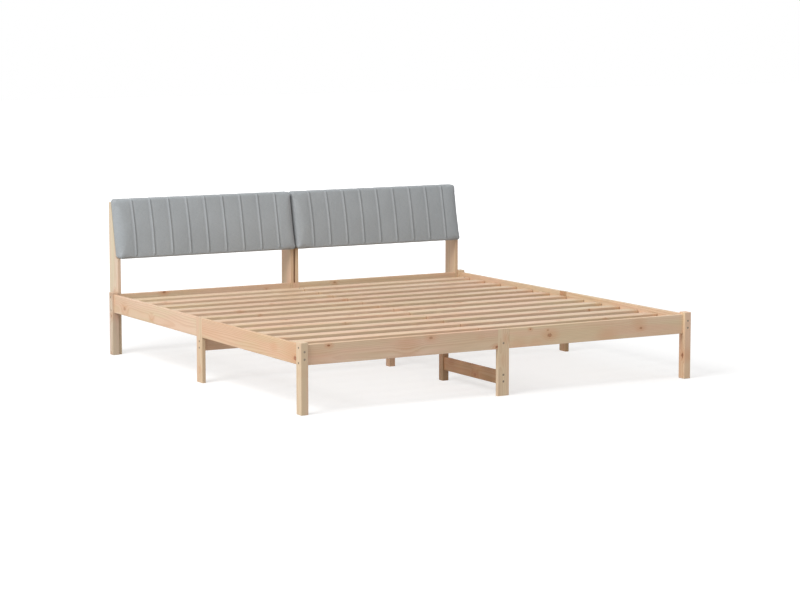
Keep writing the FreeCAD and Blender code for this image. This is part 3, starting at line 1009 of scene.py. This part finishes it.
def make_cushion(side, name, cover, thread, steel):
    """One padded cushion, in the space its solid holds, with its stitches and staples."""
    low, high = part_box("cushion_" + name)
    form = CushionForm(side, low, high)
    swell = CHANNEL_SWELL * SIMULATED_START_SHARE
    points, flats, faces = cushion_block(form)
    piece = flat_piece("padded_cushion_" + name, crowned(form, points, flats, swell), faces)
    puffed(piece, form, flats)
    sew(piece, form, flats, RUFFLE_SEEDS[name])
    mesh = piece.data
    for vertex in mesh.vertices:
        x, y, z = vertex.co
        vertex.co = form.placed(x, z, -y)
    if side < 0:
        mesh.flip_normals()
    mesh.polygons.foreach_set("use_smooth", [True] * len(mesh.polygons))
    mesh.materials.append(cover)
    mesh.update()
    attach(piece, "root")
    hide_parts("cushion_" + name)
    stitch(piece, form, flats, thread)
    staple_cover(name, form, steel)


# Stage, lights and camera

FLOOR_SIZE = 60.0
FLOOR_SHADE = 0.5
FLOOR_GLOW = (0.58, 1.0)
FLOOR_GLOW_REACH = (1.6, 6.0)
WORLD_LIGHT = 0.6
WORLD_WHITE = 1.0
KEY_PLACE = (-6.3, -2.0, 6.4)
KEY_TARGET = (0, 0, 0.3)
KEY_SIZE = 4.5
KEY_POWER = 550.0


def seen_directly(tree):
    """1 for what the camera or a mirror sees, and 0 for light that falls on other things."""
    path = tree.nodes.new("ShaderNodeLightPath")
    seen = tree.nodes.new("ShaderNodeMath")
    seen.operation = "MAXIMUM"
    tree.links.new(path.outputs["Is Camera Ray"], seen.inputs[0])
    tree.links.new(path.outputs["Is Glossy Ray"], seen.inputs[1])
    return seen.outputs[0]


def emission_for_camera(tree, surface):
    """Adds plain white to what the camera and mirrors see of the floor, more with distance."""
    place = tree.nodes.new("ShaderNodeTexCoord")
    reach = tree.nodes.new("ShaderNodeVectorMath")
    reach.operation = "LENGTH"
    tree.links.new(place.outputs["Object"], reach.inputs[0])
    strength = tree.nodes.new("ShaderNodeMapRange")
    strength.interpolation_type = "SMOOTHSTEP"
    strength.inputs["From Min"].default_value = FLOOR_GLOW_REACH[0]
    strength.inputs["From Max"].default_value = FLOOR_GLOW_REACH[1]
    strength.inputs["To Min"].default_value = FLOOR_GLOW[0]
    strength.inputs["To Max"].default_value = FLOOR_GLOW[1]
    tree.links.new(reach.outputs["Value"], strength.inputs["Value"])
    glow = tree.nodes.new("ShaderNodeEmission")
    lit = tree.nodes.new("ShaderNodeMath")
    lit.operation = "MULTIPLY"
    tree.links.new(seen_directly(tree), lit.inputs[0])
    tree.links.new(strength.outputs[0], lit.inputs[1])
    tree.links.new(lit.outputs[0], glow.inputs["Strength"])
    both = tree.nodes.new("ShaderNodeAddShader")
    tree.links.new(surface, both.inputs[0])
    tree.links.new(glow.outputs[0], both.inputs[1])
    return both.outputs[0]


def make_floor():
    """A wide pale floor that keeps a soft shadow."""
    bpy.ops.mesh.primitive_plane_add(size=FLOOR_SIZE, location=(0, 0, 0))
    floor = bpy.context.object
    floor.name = "pale_floor"
    material = bpy.data.materials.new("pale_floor")
    material.use_nodes = True
    tree = material.node_tree
    surface = tree.nodes["Principled BSDF"]
    surface.inputs["Base Color"].default_value = (FLOOR_SHADE, FLOOR_SHADE, FLOOR_SHADE, 1.0)
    surface.inputs["Roughness"].default_value = 0.9
    surface.inputs["Specular IOR Level"].default_value = 0.1
    output = tree.nodes["Material Output"]
    both = emission_for_camera(tree, surface.outputs[0])
    tree.links.new(both, output.inputs["Surface"])
    floor.data.materials.append(material)


def make_world():
    """Even soft light, and plain white where the camera sees past the floor."""
    world = bpy.data.worlds.new("pale_studio")
    world.use_nodes = True
    bpy.context.scene.world = world
    tree = world.node_tree
    background = tree.nodes["Background"]
    background.inputs["Color"].default_value = (1.0, 1.0, 1.0, 1.0)
    strength = tree.nodes.new("ShaderNodeMapRange")
    strength.inputs["To Min"].default_value = WORLD_LIGHT
    strength.inputs["To Max"].default_value = WORLD_WHITE
    tree.links.new(seen_directly(tree), strength.inputs["Value"])
    tree.links.new(strength.outputs[0], background.inputs["Strength"])


def make_key_light():
    """A square soft light from high on the left."""
    light = bpy.data.lights.new("key", "AREA")
    light.size = KEY_SIZE
    light.energy = KEY_POWER
    lamp = bpy.data.objects.new("key", light)
    lamp.location = KEY_PLACE
    aim = Vector(KEY_TARGET) - Vector(KEY_PLACE)
    lamp.rotation_euler = aim.to_track_quat("-Z", "Y").to_euler()
    collection.objects.link(lamp)


def make_camera():
    """The photograph's view."""
    camera = bpy.data.objects.new("camera", bpy.data.cameras.new("camera"))
    camera.data.sensor_width = SENSOR_WIDTH
    camera.data.lens = CAMERA_LENS
    camera.data.clip_end = 100.0
    camera.location = CAMERA_PLACE
    camera.rotation_euler = (math.radians(90 - CAMERA_PITCH), 0.0, math.radians(-CAMERA_YAW))
    collection.objects.link(camera)
    bpy.context.scene.camera = camera


make_camera()
finish_timber()
steel = dull_steel()
dress("connector_screws", steel)
tape = woven_tape()
dress("slat_webbing", tape)
make_webbing(tape, steel)
make_wood_screws(steel)
cover = woven_cover()
dress("cushion_left", cover)
dress("cushion_right", cover)
thread = sewing_thread()
for side, name in ((-1, "left"), (1, "right")):
    make_cushion(side, name, cover, thread, steel)
make_floor()
make_world()
make_key_light()
bpy.context.scene.view_settings.view_transform = "Standard"
